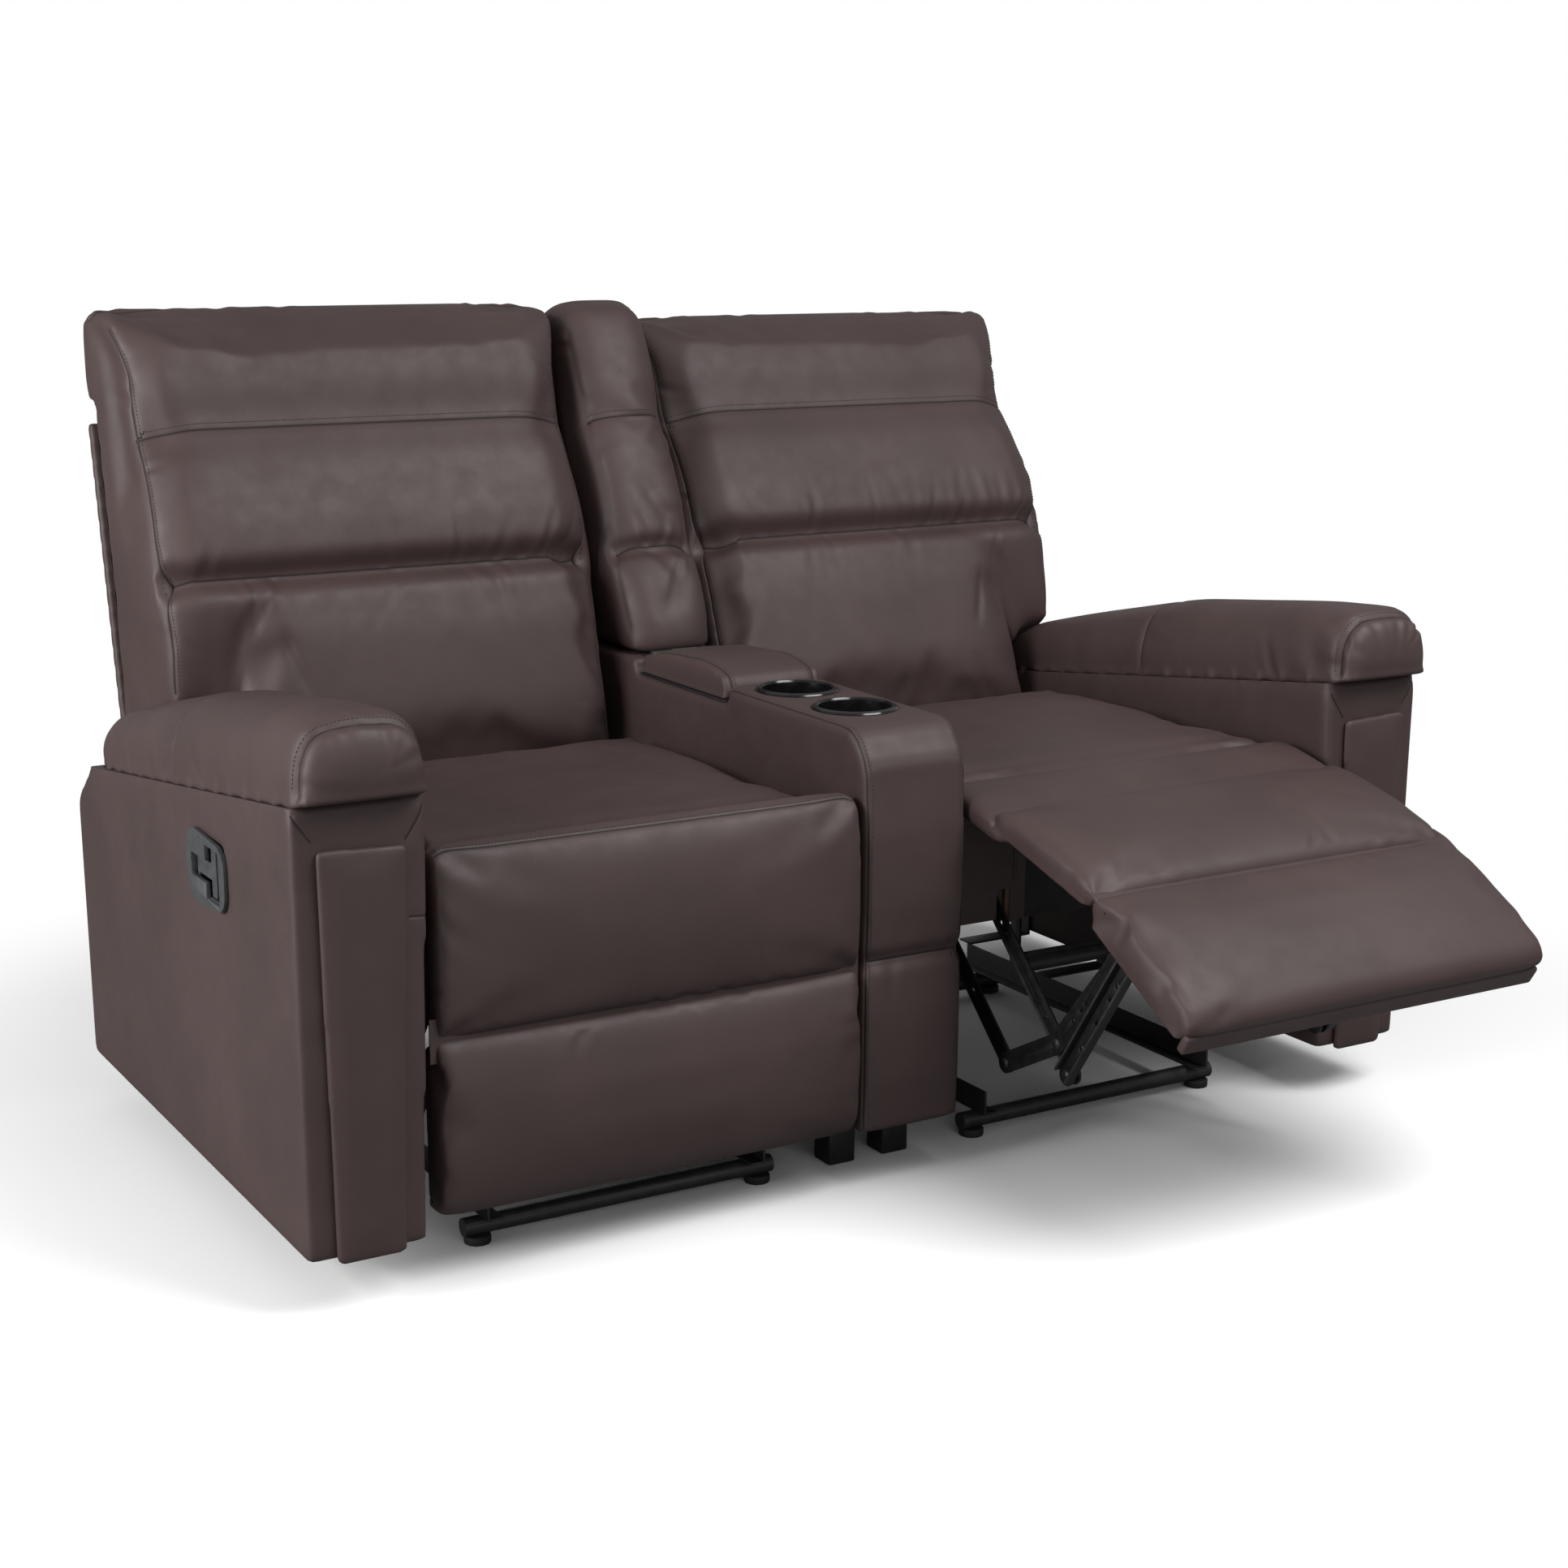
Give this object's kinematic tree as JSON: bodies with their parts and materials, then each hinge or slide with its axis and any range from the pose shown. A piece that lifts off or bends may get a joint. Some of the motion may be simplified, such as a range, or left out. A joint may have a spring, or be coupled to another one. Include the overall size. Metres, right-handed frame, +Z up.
{
  "type": "reclining loveseat",
  "caption": "Reclining loveseat in dark leather with a centre console, cup holders, a lidded bin and footrests on folding steel links.",
  "frame": {"origin": "on the floor under the middle of the overall box", "axes": "+X to the right as seen from the front along the loveseat's width, -Y to the front, +Z up"},
  "size_m": [1.558, 1.3691, 1.026],
  "materials": {
    "leather": "satin grain",
    "timber": "plain sawn",
    "dark_steel": "semi-gloss black",
    "bright_steel": "brushed",
    "dark_plastic": "matte",
    "black_rubber": "matte",
    "webbing": "woven"
  },
  "bodies": {
    "frame": {"base_glides": "black_rubber", "base_rails": "dark_steel", "base_tubes": "dark_steel", "console_back_cushion": "leather", "console_back_frame": "timber", "console_deck": "leather", "console_feet": "dark_plastic", "console_frame": "leather", "console_front_pad": "leather", "cup_holders": "bright_steel", "joining_brackets": "dark_steel", "left_arm_cover": "leather", "left_arm_frame": "timber", "left_arm_front_panel": "leather", "left_arm_pad": "leather", "left_handle_plate": "dark_plastic", "left_seat_cushion": "leather", "left_seat_frame": "timber", "lid_hinge": "bright_steel", "right_arm_cover": "leather", "right_arm_frame": "timber", "right_arm_front_panel": "leather", "right_arm_pad": "leather", "right_handle_plate": "dark_plastic", "right_seat_cushion": "leather", "right_seat_frame": "timber", "seat_straps": "webbing", "side_plates": "dark_steel", "storage_bin": "dark_plastic"},
    "console_lid": {"lid_board": "timber", "lid_pad": "leather"},
    "left_back": {"left_back_bracket": "dark_steel", "left_back_cushion": "leather", "left_back_frame": "timber", "left_rear_panel": "leather"},
    "left_crank_arm": {"left_crank": "dark_steel"},
    "left_lift_arm": {"left_lift_link": "dark_steel"},
    "left_footrest": {"left_foot_board": "timber", "left_foot_bracket": "dark_steel", "left_foot_pad": "leather"},
    "left_bridge": {"left_bridge_board": "timber", "left_bridge_pad": "leather"},
    "left_tilt_arm": {"left_tilt_link": "dark_steel"},
    "left_rear_arm": {"left_rear_link": "dark_steel"},
    "left_handle": {"left_handle_lever": "dark_plastic"},
    "right_back": {"right_back_bracket": "dark_steel", "right_back_cushion": "leather", "right_back_frame": "timber", "right_rear_panel": "leather"},
    "right_crank_arm": {"right_crank": "dark_steel"},
    "right_lift_arm": {"right_lift_link": "dark_steel"},
    "right_footrest": {"right_foot_board": "timber", "right_foot_bracket": "dark_steel", "right_foot_pad": "leather"},
    "right_bridge": {"right_bridge_board": "timber", "right_bridge_pad": "leather"},
    "right_tilt_arm": {"right_tilt_link": "dark_steel"},
    "right_rear_arm": {"right_rear_link": "dark_steel"},
    "right_handle": {"right_handle_lever": "dark_plastic"}
  },
  "joints": [
    {"name": "left_footrest_drive", "type": "hinge", "parent": "frame", "child": "left_crank_arm", "pos_m": [-0.34475, -0.18102, 0.34593], "axis": [-1, 0, 0], "range_deg": [0, 81.26]},
    {"name": "left_lift_joint", "type": "hinge", "parent": "left_crank_arm", "child": "left_lift_arm", "pos_m": [-0.34475, -0.01723, 0.11495], "axis": [-1, 0, 0], "range_deg": [-58.73, 0]},
    {"name": "left_footrest_joint", "type": "hinge", "parent": "left_lift_arm", "child": "left_footrest", "pos_m": [-0.34475, -0.21018, 0.24513], "axis": [-1, 0, 0], "range_deg": [0, 37.47]},
    {"name": "left_bridge_joint", "type": "hinge", "parent": "left_footrest", "child": "left_bridge", "pos_m": [-0.34475, -0.259, 0.283], "axis": [-1, 0, 0], "range_deg": [0, 14]},
    {"name": "left_tilt_joint", "type": "hinge", "parent": "left_crank_arm", "child": "left_tilt_arm", "pos_m": [-0.34475, -0.04178, 0.14957], "axis": [-1, 0, 0], "range_deg": [-79.25, 0]},
    {"name": "left_rear_joint", "type": "hinge", "parent": "frame", "child": "left_rear_arm", "pos_m": [-0.34475, -0.08059, 0.28684], "axis": [-1, 0, 0], "range_deg": [0, 83.4]},
    {"name": "left_recline", "type": "hinge", "parent": "frame", "child": "left_back", "pos_m": [-0.34475, 0.406, 0.375], "axis": [-1, 0, 0], "range_deg": [0, 25]},
    {"name": "left_release", "type": "hinge", "parent": "frame", "child": "left_handle", "pos_m": [-0.7705, 0.023, 0.438], "axis": [0, 0, -1], "range_deg": [0, 18], "stiffness_Nm_per_rad": 0.6, "springref_deg": -5.73},
    {"name": "right_footrest_drive", "type": "hinge", "parent": "frame", "child": "right_crank_arm", "pos_m": [0.34475, -0.18102, 0.34593], "axis": [-1, 0, 0], "range_deg": [-81.26, 0]},
    {"name": "right_lift_joint", "type": "hinge", "parent": "right_crank_arm", "child": "right_lift_arm", "pos_m": [0.34475, -0.38441, 0.14893], "axis": [-1, 0, 0], "range_deg": [0, 58.73]},
    {"name": "right_footrest_joint", "type": "hinge", "parent": "right_lift_arm", "child": "right_footrest", "pos_m": [0.34475, -0.51275, 0.3431], "axis": [-1, 0, 0], "range_deg": [-37.47, 0]},
    {"name": "right_bridge_joint", "type": "hinge", "parent": "right_footrest", "child": "right_bridge", "pos_m": [0.34475, -0.50437, 0.40432], "axis": [-1, 0, 0], "range_deg": [-14, 0]},
    {"name": "right_tilt_joint", "type": "hinge", "parent": "right_crank_arm", "child": "right_tilt_arm", "pos_m": [0.34475, -0.35393, 0.17846], "axis": [-1, 0, 0], "range_deg": [0, 79.25]},
    {"name": "right_rear_joint", "type": "hinge", "parent": "frame", "child": "right_rear_arm", "pos_m": [0.34475, -0.08059, 0.28684], "axis": [-1, 0, 0], "range_deg": [-83.4, 0]},
    {"name": "right_recline", "type": "hinge", "parent": "frame", "child": "right_back", "pos_m": [0.34475, 0.406, 0.375], "axis": [-1, 0, 0], "range_deg": [-7, 18]},
    {"name": "right_release", "type": "hinge", "parent": "frame", "child": "right_handle", "pos_m": [0.7705, 0.023, 0.438], "axis": [0, 0, 1], "range_deg": [0, 18], "stiffness_Nm_per_rad": 0.6, "springref_deg": -5.73},
    {"name": "lid_hinge_joint", "type": "hinge", "parent": "frame", "child": "console_lid", "pos_m": [0, 0.302, 0.568], "axis": [-1, 0, 0], "range_deg": [0, 85]}
  ],
  "couplings": [
    {"joint": "left_lift_joint", "follows": "left_footrest_drive", "ratio": -0.72273},
    {"joint": "left_footrest_joint", "follows": "left_footrest_drive", "ratio": 0.46114},
    {"joint": "left_bridge_joint", "follows": "left_footrest_drive", "ratio": 0.17229},
    {"joint": "left_tilt_joint", "follows": "left_footrest_drive", "ratio": -0.97527},
    {"joint": "left_rear_joint", "follows": "left_footrest_drive", "ratio": 1.0263},
    {"joint": "right_lift_joint", "follows": "right_footrest_drive", "ratio": -0.72273},
    {"joint": "right_footrest_joint", "follows": "right_footrest_drive", "ratio": 0.46114},
    {"joint": "right_bridge_joint", "follows": "right_footrest_drive", "ratio": 0.17229},
    {"joint": "right_tilt_joint", "follows": "right_footrest_drive", "ratio": -0.97527},
    {"joint": "right_rear_joint", "follows": "right_footrest_drive", "ratio": 1.0263}
  ]
}
